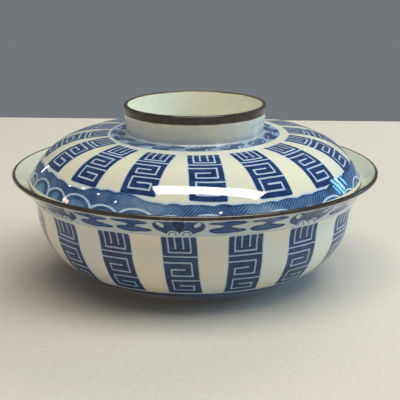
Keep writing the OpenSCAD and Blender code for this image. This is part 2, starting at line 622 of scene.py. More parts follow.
def makeFretPanel():
    # An upright panel of key fret, 17 by 35 mm before it is stretched. Pale lines are left free in the ink:
    # a U with two teeth at the top, a level line, a square spiral, and the same spiral turned round below
    # it. Slack moves the upper rows down. The distance is below zero in the ink.
    desk, given = newGroup(
        "fretPanel",
        {"Across": 0.0, "Down": 0.0, "Half Width": 8.5, "Height": 35.0, "Line": 0.5, "Slack": 0.0},
        "Distance",
    )
    x = given["Across"] / given["Half Width"] * 8.5
    y = given["Down"] / given["Height"] * 35.0
    y = y - given["Slack"] * desk.sine(desk.low(desk.high(y, 0.0), 26.0) * (pi / 26))
    wide = desk.size(x)
    line = desk.size(desk.high(wide - 5.55, y - 8.1))
    line = desk.low(line, desk.high(desk.size(wide - 2.05), y - 6.0))
    line = desk.low(line, desk.size(y - 10.2) + 0.04)
    below = desk.calc("GREATER_THAN", y, 22.6)
    spot = desk.pair(x * (1 - 2 * below), y - 10.75 * below)
    corners = [(-9.5, 13.35), (5.4, 13.35), (5.4, 20.95), (-5.1, 20.95), (-5.1, 17.15), (1.8, 17.15)]
    for start, end in zip(corners, corners[1:]):
        line = desk.low(line, desk.stroke(spot, start, end))
    edge = desk.pair(wide - 7.8, desk.size(y - 17.5) - 16.8)
    edge = desk.vector("LENGTH", desk.vector("MAXIMUM", edge, (0, 0, 0)), output=1) - 0.7
    return closeGroup(desk, Distance=desk.high(edge, given["Line"] - line))


def makeBrushInk():
    # From a distance to the stroke's edge: how much is covered, how much has pooled along the edge, and
    # the faint halo where cobalt runs into the glaze
    desk, given = newGroup(
        "brushInk",
        {"Distance": 0.0, "Soft": 0.14, "Pool": 0.7, "Run": 0.9},
        "Cover", "Edge", "Halo",
    )
    soft = given["Soft"]
    cover = desk.ease(given["Distance"], -soft, soft, 1.0, 0.0)
    edge = desk.ease(given["Distance"], -given["Pool"], -0.1, 0.0, 1.0) * cover
    halo = desk.ease(given["Distance"], 0.0, given["Run"], 1.0, 0.0)
    return closeGroup(desk, Cover=cover, Edge=edge, Halo=halo)


cobaltSteps = [
    # density of the cobalt, and what it lets through
    (0.0, (1.0, 1.0, 1.0, 1.0)),
    (0.12, (0.74, 0.83, 0.95, 1.0)),
    (0.30, (0.33, 0.50, 0.84, 1.0)),
    (0.52, (0.085, 0.21, 0.58, 1.0)),
    (0.76, (0.032, 0.083, 0.28, 1.0)),
    (1.0, (0.009, 0.024, 0.076, 1.0)),
]


def makeCobalt():
    # Ground seen through cobalt of some density, a little uneven from brush load
    desk, given = newGroup(
        "cobalt",
        {"Ground": (0.8, 0.8, 0.8, 1), "Density": 0.0, "Spot": origin, "Uneven": 0.3},
        "Color",
    )
    cloud = desk.noise(given["Spot"], 210.0, 3.0, 0.6) - 0.5
    grain = desk.noise(given["Spot"], 1500.0, 2.0, 0.6) - 0.5
    density = given["Density"] * (1 + given["Uneven"] * (cloud * 1.5 + grain * 0.5))
    ramp = desk.add("ShaderNodeValToRGB", {"Fac": density})
    ramp.color_ramp.interpolation = "B_SPLINE"
    stops = ramp.color_ramp.elements
    for position, tint in cobaltSteps[1:-1]:
        stops.new(position)
    for stop, (position, tint) in zip(stops, cobaltSteps):
        stop.position = position
        stop.color = tint
    return closeGroup(desk, Color=desk.blend(1.0, given["Ground"], desk.wire(ramp), "MULTIPLY"))


speckTint = colour(112, 98, 84)


def makePorcelain():
    # White body under a clear glaze: a slow drift between two whites, and a few tiny iron specks
    desk, given = newGroup(
        "porcelain",
        {"Spot": origin, "Warm": (0.8, 0.77, 0.6, 1), "Cool": (0.7, 0.74, 0.7, 1), "Drift": 0.5,
         "Specks": 0.5},
        "Color",
    )
    slow = desk.ease(desk.noise(given["Spot"], 26.0, 2.0, 0.55), 0.32, 0.68)
    mixed = desk.blend(slow * given["Drift"], given["Warm"], given["Cool"])
    cells = desk.add("ShaderNodeTexVoronoi", {"Vector": given["Spot"], "Scale": 120.0})
    dot = desk.ease(desk.wire(cells, "Distance"), 0.028, 0.05, 1.0, 0.0)
    chance = desk.ease(desk.parts(desk.wire(cells, "Color"))[0], 0.86, 0.9)
    specked = desk.blend(dot * chance * given["Specks"], mixed, speckTint)
    return closeGroup(desk, Color=specked)


def makeGlazeSkin():
    # The glaze's own surface: a soft ripple at two sizes, and a roughness that is a little uneven
    desk, given = newGroup(
        "glazeSkin",
        {"Spot": origin, "Ripple": 0.3, "Smooth": 0.06, "Dull": 0.12},
        "Normal", "Roughness",
    )
    peel = desk.noise(given["Spot"], 330.0, 2.0, 0.5) + desk.noise(given["Spot"], 90.0, 1.0, 0.5) * 2.2
    bump = desk.add("ShaderNodeBump", {"Height": peel, "Strength": given["Ripple"], "Distance": 0.00006})
    cloud = desk.noise(given["Spot"], 60.0, 4.0, 0.65)
    rough = desk.ease(cloud, 0.35, 0.75, given["Smooth"], given["Dull"])
    return closeGroup(desk, Normal=desk.wire(bump), Roughness=rough)


def makeRoundPlace():
    # Angle round the axis, radius in mm, and the nearest of so many even places with the angle left over
    desk, given = newGroup(
        "roundPlace",
        {"Spot": origin, "Count": 16.0, "First": 0.0, "Crowding": 0.0},
        "Left Over", "Radius", "Index",
    )
    x, y = desk.parts(given["Spot"])[:2]
    turn = desk.calc("ARCTAN2", y, x) - given["First"]
    turn = turn + desk.sine(turn * 2) * given["Crowding"]
    pitch = 2 * pi / given["Count"]
    index = desk.calc("ROUND", turn / pitch)
    leftOver = turn - index * pitch
    radius = desk.vector("LENGTH", desk.pair(x, y), output=1) * 1000
    wrapped = desk.calc("FLOORED_MODULO", index, given["Count"])
    return closeGroup(desk, Left_Over=leftOver, Radius=radius, Index=wrapped)


handWobble = makeHandWobble()
fretPanel = makeFretPanel()
brushInk = makeBrushInk()
cobalt = makeCobalt()
porcelain = makePorcelain()
glazeSkin = makeGlazeSkin()
roundPlace = makeRoundPlace()


# Ornament groups

cloudShape = {
    # middle and half-axes of each ellipse in mm, across and down
    "upperLens": ((1.6, 3.0), (7.3, 2.4)),
    "upperTail": ((-4.6, 2.7), (5.0, 1.5)),
    "lowerLens": ((-1.6, 9.3), (7.5, 2.35)),
    "lowerTail": ((4.8, 9.7), (5.0, 1.4)),
    "bridge": ((0.0, 6.1), (2.3, 3.6)),
}
batShape = {
    "innerWing": ((5.0, 6.2), (5.2, 5.6)),
    "outerWing": ((8.3, 5.4), (3.6, 4.9)),
    "notch": ((8.5, 4.0), (1.45, 2.7)),
    "circle": ((3.4, 12.0), (2.7, 2.8)),
    "ring": ((3.4, 12.3), (1.75, 1.9)),
    "body": ((0.0, 4.0), (3.0, 3.7)),
    "ear": ((1.5, 1.3), (1.2, 1.1)),
    "wingFold": ((6.9, 7.0), (3.4, 2.9)),
    "bodyFold": ((0.0, 4.6), (1.4, 1.9)),
}


def makeCloud():
    # A drifting cloud about 19 mm long: two plump lenses, each with a thin tail, and a slanting bridge
    s = cloudShape
    desk, given = newGroup("driftCloud", {"Across": 0.0, "Down": 0.0}, "Distance")
    x, y = given["Across"], given["Down"]
    level = desk.pair(x, y)
    lenses = [desk.ellipse(level, *s[name]) for name in ("upperLens", "upperTail", "lowerLens", "lowerTail")]
    bridge = desk.ellipse(desk.pair(x + (y - s["bridge"][0][1]) * 0.9, y), *s["bridge"])
    return closeGroup(desk, Distance=desk.low(*lenses, bridge))


def makeBat():
    # A bat of good fortune, 24 mm across and mirrored: two round wings, each with a notch where its tip
    # curls in, a knot of a body with a tail that points down, and a pale circle with a ring drawn in it on
    # each side of the tail
    s = batShape
    desk, given = newGroup("luckBat", {"Across": 0.0, "Down": 0.0}, "Distance", "Lines", "Body")
    x = desk.size(given["Across"])
    y = given["Down"]
    spot = desk.pair(x, y)
    notch = desk.ellipse(desk.pair(x + (y - 3.6) * 0.3, y), *s["notch"])
    wing = desk.low(desk.ellipse(spot, *s["innerWing"]), desk.ellipse(spot, *s["outerWing"]))
    wing = desk.high(wing, -notch)
    circle = desk.ellipse(spot, *s["circle"])
    tail = desk.high(x * 0.92 + (y - 11.8) * 0.45, 4.0 - y)
    body = desk.low(desk.ellipse(spot, *s["body"]), desk.ellipse(spot, *s["ear"]), tail)
    ring = desk.size(desk.ellipse(spot, *s["ring"])) - 0.22
    figure = desk.low(desk.high(wing, -circle), body, ring)
    fold = desk.low(*[desk.size(desk.ellipse(spot, *s[name])) for name in ("wingFold", "bodyFold")])
    return closeGroup(desk, Distance=figure, Lines=fold, Body=body)


driftCloud = makeCloud()
luckBat = makeBat()


waveShape = {
    "edgeRadius": 85.0,
    "bigCrest": ((0.0, -0.5), (9.2, 5.6)),
    "smallCrest": ((0.0, -0.7), (7.8, 4.6)),
    "scallops": 24,
    "scallopHeight": 0.7,
    "hatchPitch": 1.65,
    "hatchLean": 0.82,
    "hatchInk": (0.14, 0.26),
    "fieldInk": 0.45,
    "topInk": 0.14,
    "crestInk": 0.42,
    "outlineLeftFree": 0.82,
    "bareLine": (1.3, 1.6),
}


def makeWaveBand():
    # The lid's border, from its edge up: a bare line, white-outlined wave crests that stand in turn large
    # and small, then slanting brush hatching that ends in a soft scalloped edge
    s = waveShape
    desk, given = newGroup(
        "waveBand",
        {"Angle": 0.0, "Up": 0.0, "Sink": 0.0, "Top": 9.0, "Spot": origin},
        "Density", "Cover", "Halo",
    )
    up = given["Up"]
    across = given["Angle"] * s["edgeRadius"]
    pitch = 2 * pi / panelCount * s["edgeRadius"]
    sunk = up + given["Sink"]
    spot = desk.pair(across, sunk)
    big = desk.ellipse(spot, *s["bigCrest"])
    aside = desk.pair(desk.size(across) - pitch / 2, sunk)
    small = desk.ellipse(aside, *s["smallCrest"])
    crest = desk.low(big, desk.high(small, 0.9 - big))
    outline = desk.low(desk.size(big), desk.high(desk.size(small), 0.45 - big))
    inner = desk.low(desk.size(big + 1.9), desk.high(desk.size(small + 1.5), 0.9 - big))
    rough = desk.noise(given["Spot"], 70.0, 2.0, 0.5) - 0.5
    wide = desk.noise(given["Spot"], 28.0, 1.0, 0.5) - 0.5
    scallop = desk.size(desk.sine(given["Angle"] * s["scallops"] + rough * 4.0))
    top = given["Top"] + scallop * s["scallopHeight"] + wide * 2.4 + rough * 1.6
    edge = up - top
    slant = (across - up * s["hatchLean"] + rough * 4.0) * (2 * pi / s["hatchPitch"])
    hatch = desk.ease(desk.sine(slant), -1.0, 0.4) * desk.ease(wide, -0.12, 0.1, *s["hatchInk"])
    field = s["fieldInk"] + hatch + wide * 0.55 + rough * 0.5
    field = field + desk.ease(edge, -1.9, -0.2, 0.0, s["topInk"])
    inside = s["crestInk"] + desk.ease(crest, -4.0, -0.5, 0.0, 0.26) + rough * 0.3
    inside = inside + desk.ease(inner, 0.12, 0.4, 0.16, 0.0)
    isCrest = desk.ease(crest, -0.1, 0.1, 1.0, 0.0)
    density = field + (inside - field) * isCrest
    pale = desk.ease(outline, 0.32, 0.62, 1.0, 0.0)
    density = density * (1 - pale * s["outlineLeftFree"])
    cover = desk.ease(edge, -0.35, 0.35, 1.0, 0.0) * desk.ease(up, *s["bareLine"])
    halo = desk.high(desk.ease(edge, 0.0, 1.7, 1.0, 0.0) * (1 - cover), pale)
    halo = halo * desk.ease(up, *s["bareLine"])
    return closeGroup(desk, Density=density, Cover=cover, Halo=halo)


leafShape = {
    "middleRadius": 40.0,
    "innerRadius": 36.2,
    "drawnHeight": 7.3,
    "startRadius": (35.4, 35.8),
    "groundInk": 0.26,
    "leafInk": 0.84,
}


def makeLeafRing():
    # The band round the root of the grip: sixteen drifting leaves with pale crossings between them
    s = leafShape
    desk, given = newGroup(
        "leafRing",
        {"Angle": 0.0, "Radius": 40.0, "Outer": 43.5, "Spot": origin},
        "Density", "Halo",
    )
    x = given["Angle"] * s["middleRadius"]
    y = (given["Outer"] - given["Radius"]) / (given["Outer"] - s["innerRadius"]) * s["drawnHeight"]
    rough = desk.noise(given["Spot"], 130.0, 2.0, 0.6) - 0.5
    leaning = desk.pair(x + rough * 0.8, y - x * 0.1)
    leaf = desk.low(
        desk.ellipse(leaning, (-1.0, 3.0), (6.4, 2.9)),
        desk.ellipse(leaning, (2.8, 4.9), (5.6, 2.9)),
    )
    leaf = leaf + rough * 0.4
    cross = desk.low(
        desk.size(desk.ellipse(leaning, (-4.4, 6.2), (3.9, 2.7))),
        desk.size(desk.ellipse(leaning, (5.4, 1.0), (3.4, 1.7))),
    )
    inLeaf = desk.ease(leaf, -0.25, 0.25, 1.0, 0.0)
    ink = s["leafInk"] + rough * 0.9 + desk.ease(leaf, -1.0, -0.1, 0.0, 0.2)
    ink = ink * (1 - desk.ease(cross, 0.12, 0.36, 0.8, 0.0))
    density = s["groundInk"] + rough * 0.35 + inLeaf * (ink - 0.3)
    past = given["Radius"] - given["Outer"]
    inner = desk.ease(given["Radius"], *s["startRadius"])
    rule = desk.ease(desk.size(past - 0.1), 0.12, 0.4, 0.5, 0.0)
    density = desk.high(density * inner * desk.ease(past, -0.3, 0.0, 1.0, 0.0), rule)
    return closeGroup(desk, Density=density, Halo=inner * desk.ease(past, 0.5, 1.4, 1.0, 0.0))


waveBand = makeWaveBand()
leafRing = makeLeafRing()
print("bowl scene: brushwork groups made")


# Materials

def newMaterial(name):
    material = bpy.data.materials.new(name)
    material.use_nodes = True
    tree = material.node_tree
    tree.nodes.clear()
    desk = Desk(tree)
    return material, desk, desk.wire(desk.add("ShaderNodeTexCoord"), "Object")


def bodyTint(desk, spot, warm, cool, drift, specks):
    return place(desk, porcelain, Spot=spot, Warm=warm, Cool=cool, Drift=drift, Specks=specks)["Color"]


def brushStart(desk, spot):
    # Distance along the piece's section, and how far the hand strays from it three ways
    way = desk.wire(desk.add("ShaderNodeAttribute", attribute_name="way"), "Fac")
    offset = place(desk, handWobble, Spot=spot, Wander=0.55, Tremble=0.22)["Offset"]
    return way, desk.parts(offset)


def inkedPanel(desk, s, across, down, half, height):
    # One panel's cobalt, a little darker where it pools along the edge, and the halo round it
    fret = place(
        desk, fretPanel, Across=across, Down=down, Half_Width=half, Height=height, Line=s["line"],
        Slack=s["slack"],
    )
    ink = place(desk, brushInk, Distance=fret["Distance"], Soft=0.13, Pool=0.9, Run=0.9)
    covered = ink["Cover"] * (s["ink"] - 0.12 + ink["Edge"] * 0.14)
    return covered + ink["Halo"] * s["haloInk"] * (1 - ink["Cover"]), ink["Halo"]


def glazed(desk, spot, shade, skinLook, dulled=None):
    # The shade under a clear glaze, rougher by dulled where that is given
    skin = place(desk, glazeSkin, Spot=spot, **skinLook)
    rough = skin["Roughness"] if dulled is None else skin["Roughness"] + dulled
    look = {"Base Color": shade, "Normal": skin["Normal"], "Roughness": rough, "IOR": 1.5}
    shader = desk.add("ShaderNodeBsdfPrincipled", look)
    out = desk.add("ShaderNodeOutputMaterial")
    desk.tree.links.new(shader.outputs["BSDF"], out.inputs["Surface"])


def paintedGlazed(desk, spot, ground, density, s):
    tint = place(desk, cobalt, Ground=ground, Density=density, Spot=spot, Uneven=s["uneven"])
    glazed(desk, spot, tint["Color"], s["skin"])


bowlPaint = {
    "panelTopZ": 43.8,
    "panelBottomZ": 12.0,
    "halfTop": 8.55,
    "halfBottom": 8.2,
    "firstPanel": radians(-90) - 0.0949,
    "borderStart": 3.5,
    "borderEnd": 15.9,
    "crowding": 0.032,
    "lean": 0.052,
    "firstBat": radians(-90) - 0.083,
    "batCrowding": 0.05,
    "cloudAt": 24.0,
    "ringLineZ": 11.0,
    "line": 0.46,
    "warm": colour(243, 233, 207),
    "cool": colour(222, 230, 229),
    "borderWarm": colour(214, 219, 212),
    "borderCool": colour(190, 204, 215),
    "halo": colour(208, 220, 228),
    "inside": colour(216, 219, 198),
    "strayDown": 0.8,
    "strayAcross": 0.9,
    "strayLean": 0.03,
    "slack": 0.0,
    "ink": 0.98,
    "haloInk": 0.28,
    "borderTop": 2.9,
    "borderRadius": 88.0,
    "batSqueeze": 0.93,
    "batHalf": 13.8,
    "wash": 0.65,
    "borderHaloInk": 0.08,
    "ruleInk": 0.26,
    "ringInk": 0.8,
    # cobalt below the ring line: a bluish wash, made dark as painted shade under the belly
    "underWashAndShade": 0.66,
    "lowWashAndShade": 0.4,
    "baseWash": 0.06,
    "baseRadius": 47.0,
    "uneven": 0.45,
    "skin": {"Ripple": 0.35, "Smooth": 0.05, "Dull": 0.1},
}


def paintBowl():
    s = bowlPaint
    material, desk, spot = newMaterial("bowlPorcelain")
    way, stray = brushStart(desk, spot)
    at = place(
        desk, roundPlace, Spot=spot, Count=float(panelCount), First=s["firstPanel"], Crowding=s["crowding"],
    )
    # panels, each leaning a little the same way
    topWay = bowlWayAt(s["panelTopZ"])
    height = bowlWayAt(s["panelBottomZ"]) - topWay
    down = way - topWay + stray[1]
    luck = desk.parts(desk.dice(at["Index"] + 0.5, 1))
    down = down + (luck[0] - 0.5) * s["strayDown"]
    across = at["Left Over"] * at["Radius"] + stray[0] - down * s["lean"]
    across = across + (luck[1] - 0.5) * s["strayAcross"] + (luck[2] - 0.5) * down * s["strayLean"]
    half = s["halfTop"] + down * ((s["halfBottom"] - s["halfTop"]) / height)
    density, halo = inkedPanel(desk, s, across, down, half, height)
    # border of bats and clouds, a little crowded towards the first bat
    v = way - s["borderStart"] + stray[2]
    eight = place(
        desk, roundPlace, Spot=spot, Count=float(batCount), First=s["firstBat"], Crowding=s["batCrowding"],
    )
    u = eight["Left Over"] * s["borderRadius"]
    bat = place(desk, luckBat, Across=u * s["batSqueeze"] + stray[0], Down=v)
    batInk = place(desk, brushInk, Distance=bat["Distance"], Soft=0.16, Pool=1.1, Run=1.0)
    batLine = desk.ease(bat["Lines"], 0.1, 0.5, 0.16, 0.0)
    batBody = desk.ease(bat["Body"], -0.5, -0.1, 0.16, 0.0)
    batBody = batBody - desk.ease(desk.size(bat["Body"]), 0.0, 0.4, 0.14, 0.0)
    nearCloud = u - desk.calc("SIGN", u) * s["cloudAt"]
    cloud = place(desk, driftCloud, Across=nearCloud + stray[0], Down=v)
    cloudInk = place(desk, brushInk, Distance=cloud["Distance"], Soft=0.18, Pool=1.0, Run=1.0)
    batDensity = batInk["Cover"] * (s["wash"] + batInk["Edge"] * 0.24 + batLine + batBody)
    batDensity = batDensity + batInk["Halo"] * s["borderHaloInk"]
    cloudDensity = cloudInk["Cover"] * (s["wash"] - 0.06 + cloudInk["Edge"] * 0.26)
    cloudDensity = cloudDensity + cloudInk["Halo"] * s["borderHaloInk"]
    nearBat = desk.ease(desk.size(u), s["batHalf"], s["batHalf"] + 0.2, 1.0, 0.0)
    border = batDensity * nearBat + cloudDensity * (1 - nearBat)
    inBorder = desk.ease(way, s["borderTop"], s["borderTop"] + 0.3)
    inBorder = inBorder * desk.ease(way, s["borderEnd"] + 0.2, s["borderEnd"] + 0.5, 1.0, 0.0)
    rule = desk.ease(desk.size(way - s["borderEnd"] - 0.5), 0.08, 0.32, 1.0, 0.0) * s["ruleInk"]
    # the ring line above the foot, and below it a cobalt wash that is partly bluish glaze and partly painted
    # shade where the belly turns under; it fades out inside the foot
    underRing = way - bowlWayAt(s["ringLineZ"]) + stray[1] * 0.4
    ringLine = desk.ease(desk.size(underRing), 0.35, 0.6, 1.0, 0.0) * s["ringInk"]
    wash = desk.ease(underRing, 0.0, 0.8) * desk.ease(underRing, 3.0, 14.0, s["underWashAndShade"], s["lowWashAndShade"])
    wash = wash * desk.ease(at["Radius"], s["baseRadius"] - 1.5, s["baseRadius"], s["baseWash"], 1.0)
    density = desk.high(density, border * inBorder, rule, ringLine, wash)
    # the ground
    ground = bodyTint(desk, spot, s["warm"], s["cool"], 0.6, 0.35)
    pale = bodyTint(desk, spot, s["borderWarm"], s["borderCool"], 0.6, 0.2)
    ground = desk.blend(halo * 0.7, ground, s["halo"])
    ground = desk.blend(inBorder, ground, pale)
    plain = desk.ease(way, -0.5, 0.5, 1.0, 0.0)
    ground = desk.blend(plain, ground, s["inside"])
    paintedGlazed(desk, spot, ground, density * (1 - plain), s)
    return material


lidPaint = {
    "panelOuter": 78.4,
    "panelInner": 49.6,
    "offCentre": 3.6,
    "offCentreTurn": radians(-66),
    "bandTop": 9.7,
    "sideReach": 2.8,
    "longReach": 2.3,
    "longTurn": radians(-55),
    "leafOuter": 43.3,
    "leafShift": 2.6,
    "halfOuter": 8.7,
    "halfInner": 7.35,
    "firstPanel": radians(-90) + 0.0723,
    "spread": 0.06,
    "line": 0.55,
    "warm": colour(235, 228, 195),
    "cool": colour(222, 224, 206),
    "halo": colour(208, 222, 229),
    "under": colour(228, 229, 216),
    "stray": 0.8,
    "strayLean": 0.03,
    "slack": 1.5,
    "ink": 1.0,
    "haloInk": 0.23,
    "longStarts": (0.6, 0.9),
    "topShare": 0.5,
    "topShareOfLong": 0.55,
    "swellEnd": 0.998,
    "swells": [
        # degrees round from the first panel, height in mm, and the cosine at which the swell starts
        (-32.0, 2.6, 0.968),
        (-71.0, 2.2, 0.93),
        (66.0, 2.4, 0.93),
    ],
    "crestsSink": 2.2,
    "crestsLift": 5.2,
    "crestsLiftMost": 3.0,
    "uneven": 0.5,
    "skin": {"Ripple": 0.3, "Smooth": 0.02, "Dull": 0.045},
}


def paintLid():
    s = lidPaint
    material, desk, spot = newMaterial("lidPorcelain")
    way, stray = brushStart(desk, spot)
    at = place(desk, roundPlace, Spot=spot, Count=float(panelCount), First=s["firstPanel"])
    outerWay = lidWayAt(s["panelOuter"])
    height = lidWayAt(s["panelInner"]) - outerWay
    # the painter's middle lies a little off the axis, so the panels reach further out on that side
    offWay = np.array([np.cos(s["offCentreTurn"]), np.sin(s["offCentreTurn"]), 0]) * s["offCentre"]
    flatWay = desk.vector("NORMALIZE", desk.vector("MULTIPLY", spot, (1, 1, 0)))
    reach = desk.vector("DOT_PRODUCT", flatWay, tuple(offWay.tolist()), output=1)
    down = outerWay + height - way - reach + stray[1]
    luck = desk.parts(desk.dice(at["Index"] + 40.5, 1))
    down = down + (luck[0] - 0.5) * s["stray"]
    # panels at the two sides reach further in, and those on one side further out
    extra = desk.size(desk.vector("DOT_PRODUCT", flatWay, (s["sideReach"], 0, 0), output=1))
    longWay = (float(np.cos(s["longTurn"])), float(np.sin(s["longTurn"])), 0)
    longer = desk.vector("DOT_PRODUCT", flatWay, longWay, output=1)
    longer = desk.ease(longer, *s["longStarts"], 0.0, s["longReach"])
    down = (down + extra) * (height / (extra + longer + height))
    across = at["Left Over"] * at["Radius"] + stray[0]
    across = across + (luck[1] - 0.5) * s["stray"] + (luck[2] - 0.5) * down * s["strayLean"]
    # panels beside the first one and beside its opposite spread away from them towards the edge
    across = across - desk.sine(at["Index"] * (4 * pi / panelCount)) * down * s["spread"]
    half = s["halfInner"] + down * ((s["halfOuter"] - s["halfInner"]) / height)
    density, halo = inkedPanel(desk, s, across, down, half, height)
    # the border swells in three places, and its crests sink towards the edge on the side that reaches out
    top = s["bandTop"] - reach * s["topShare"] - longer * s["topShareOfLong"]
    turn = at["Left Over"] + at["Index"] * (2 * pi / panelCount)
    for middle, rise, near in s["swells"]:
        towards = desk.calc("COSINE", turn - radians(middle))
        top = top + desk.ease(towards, near, s["swellEnd"], 0.0, rise)
    sink = desk.high(reach * s["crestsSink"] - s["crestsLift"], -s["crestsLiftMost"])
    wave = place(desk, waveBand, Angle=at["Left Over"], Up=way, Sink=sink, Top=top, Spot=spot)
    density = density * (1 - wave["Cover"]) + wave["Cover"] * wave["Density"]
    density = desk.high(density, wave["Halo"] * 0.1)
    front = desk.vector("DOT_PRODUCT", flatWay, (0, -1, 0), output=1)
    outer = s["leafOuter"] + front * s["leafShift"]
    leaf = place(desk, leafRing, Angle=at["Left Over"], Radius=at["Radius"], Outer=outer, Spot=spot)
    density = desk.high(density, leaf["Density"])
    ground = bodyTint(desk, spot, s["warm"], s["cool"], 0.6, 0.35)
    halo = desk.high(halo * 0.85, wave["Halo"] * 0.85, leaf["Halo"] * 0.5)
    ground = desk.blend(halo, ground, s["halo"])
    plain = desk.ease(way, -0.4, 0.4, 1.0, 0.0)
    ground = desk.blend(plain, ground, s["under"])
    paintedGlazed(desk, spot, ground, density * (1 - plain), s)
    return material


gripPaint = {
    "warm": colour(224, 212, 182),
    "cool": colour(200, 212, 208),
    "patch": colour(241, 238, 224),
    "patchShare": 0.34,
    "inside": colour(233, 236, 208),
    "insideLightShare": 0.5,
    "insideRadius": 34.9,
    "pooled": 0.14,
    "uneven": 0.5,
    "skin": {"Ripple": 0.5, "Smooth": 0.07, "Dull": 0.16},
}


def paintGrip():
    # Patchy white glaze, painted paler and yellower inside the ring as painted light on its inner wall, and a
    # little blue pooled round the root
    s = gripPaint
    material, desk, spot = newMaterial("gripPorcelain")
    ground = bodyTint(desk, spot, s["warm"], s["cool"], 0.8, 0.4)
    patch = desk.ease(desk.noise(spot, 240.0, 4.0, 0.65), 0.42, 0.66, 0.0, s["patchShare"])
    ground = desk.blend(patch, ground, s["patch"])
    radius = desk.vector("LENGTH", desk.vector("MULTIPLY", spot, (1000, 1000, 0)), output=1)
    # painted light: the inside of the ring is made paler, as if more brightly lit
    inside = desk.ease(radius, s["insideRadius"], s["insideRadius"] + 0.3, s["insideLightShare"], 0.0)
    ground = desk.blend(inside, ground, s["inside"])
    height = desk.parts(spot)[2] * 1000 - crownZ
    cloud = desk.noise(spot, 120.0, 3.0, 0.6)
    pooled = desk.ease(height + cloud * 4.0, 1.4, 6.2, s["pooled"], 0.0)
    paintedGlazed(desk, spot, ground, pooled + cloud * 0.03, s)
    return material


footPaintAndShade = {
    # warm and cool are dark slate blues: painted shade on the glazed sides of the foot
    "warm": colour(172, 180, 194),
    "cool": colour(158, 174, 198),
    "bareDark": colour(196, 176, 148),
    "barePale": colour(222, 210, 190),
    "bareHeight": 0.55,
    "bareRough": 0.6,
    "skin": {"Ripple": 0.5, "Smooth": 0.07, "Dull": 0.14},
}


def paintFoot():
    # Glazed sides in dark slate blue, painted shade for the foot that stands in shadow, and the bare fired
    # clay where the foot stands
    s = footPaintAndShade
    material, desk, spot = newMaterial("footPorcelain")
    ground = bodyTint(desk, spot, s["warm"], s["cool"], 0.7, 0.5)
    height = desk.parts(spot)[2] * 1000 + desk.noise(spot, 300.0, 2.0) * 0.3
    bare = desk.ease(height, s["bareHeight"], s["bareHeight"] + 0.2, 1.0, 0.0)
    clay = desk.blend(desk.noise(spot, 700.0, 4.0, 0.7), s["bareDark"], s["barePale"])
    glazed(desk, spot, desk.blend(bare, ground, clay), s["skin"], bare * s["bareRough"])
    return material


ironPaint = {
    "deep": colour(44, 37, 33),
    "body": colour(66, 56, 46),
    "thin": colour(150, 112, 62),
    "innerThin": 0.9,
    "outerThin": 0.35,
    "skin": {"Ripple": 0.8, "Smooth": 0.2, "Dull": 0.38},
}


def paintIron():
    # Iron-brown lip glaze: nearly black where it lies thick, ochre where it thins out at its two edges
    s = ironPaint
    material, desk, spot = newMaterial("ironGlaze")
    share = desk.wire(desk.add("ShaderNodeAttribute", attribute_name="way"), "Fac")
    cloud = desk.noise(spot, 160.0, 4.0, 0.65)
    body = desk.blend(desk.ease(cloud, 0.35, 0.7), s["deep"], s["body"])
    inner = desk.ease(share + (cloud - 0.5) * 0.04, 0.01, 0.08, s["innerThin"], 0.0)
    outer = desk.ease(share + (cloud - 0.5) * 0.1, 0.93, 1.0, 0.0, s["outerThin"])
    glazed(desk, spot, desk.blend(desk.high(inner, outer), body, s["thin"]), s["skin"])
    return material


def dress(piece, material, body, node):
    piece.data.materials.append(material)
    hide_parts(node)
    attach(piece, body)


ironGlaze = paintIron()
dress(bowlWall, paintBowl(), "bowl", "bowl_body")
dress(footRing, paintFoot(), "bowl", "bowl_foot_ring")
dress(rimGlaze, ironGlaze, "bowl", "bowl_rim_glaze")
dress(lidDome, paintLid(), "lid", "lid_dome")
dress(gripRing, paintGrip(), "lid", "lid_grip_ring")
dress(gripGlaze, ironGlaze, "lid", "lid_grip_glaze")
print("bowl scene: pieces painted")


# Studio

studio = {
    "floor": colour(216, 208, 193),
    "weave": colour(206, 200, 187),
    "width": 3.0,
    "front": -3.0,
    "back": 0.405,
    "skew": 0.07,
    "worldColour": (0.86, 0.93, 1.0, 1.0),
    "worldStrength": 0.2,
}


def makeFloor():
    # A level sheet that ends a little way behind the object, along a slightly skewed edge. It is seen
    # only from above.
    s = studio
    reach = s["skew"] * s["width"]
    corners = [(-1, s["front"]), (1, s["front"]), (1, s["back"] - reach), (-1, s["back"] + reach)]
    mesh = bpy.data.meshes.new("studioFloor")
    mesh.from_pydata([(side * s["width"], y, 0) for side, y in corners], [], [(0, 1, 2, 3)])
    floor = bpy.data.objects.new("studioFloor", mesh)
    bpy.context.scene.collection.objects.link(floor)
    material, desk, spot = newMaterial("studioFloor")
    cloth = desk.noise(spot, 420.0, 3.0, 0.7)
    tone = desk.blend(desk.ease(cloth, 0.3, 0.7), s["floor"], s["weave"])
    look = {"Base Color": tone, "Roughness": 0.9, "Specular IOR Level": 0.1}
    shader = desk.add("ShaderNodeBsdfPrincipled", look)
    side = desk.add("ShaderNodeNewGeometry")
    clear = desk.add("ShaderNodeBsdfTransparent")
    both = desk.add("ShaderNodeMixShader")
    out = desk.add("ShaderNodeOutputMaterial")
    links = desk.tree.links
    links.new(side.outputs["Backfacing"], both.inputs[0])
    links.new(shader.outputs["BSDF"], both.inputs[1])
    links.new(clear.outputs["BSDF"], both.inputs[2])
    links.new(both.outputs["Shader"], out.inputs["Surface"])
    mesh.materials.append(material)


def makeWorld():
    world = bpy.data.worlds.new("studioSky")
    bpy.context.scene.world = world
    world.use_nodes = True
    sky = world.node_tree.nodes["Background"]
    sky.inputs["Color"].default_value = studio["worldColour"]
    sky.inputs["Strength"].default_value = studio["worldStrength"]


# Where the small lamps beside the object point
lidRight = (0.07, -0.045, 0.059)
lipLeft = (-0.061, -0.059, 0.055)
lidLeft = (-0.074, -0.028, 0.063)

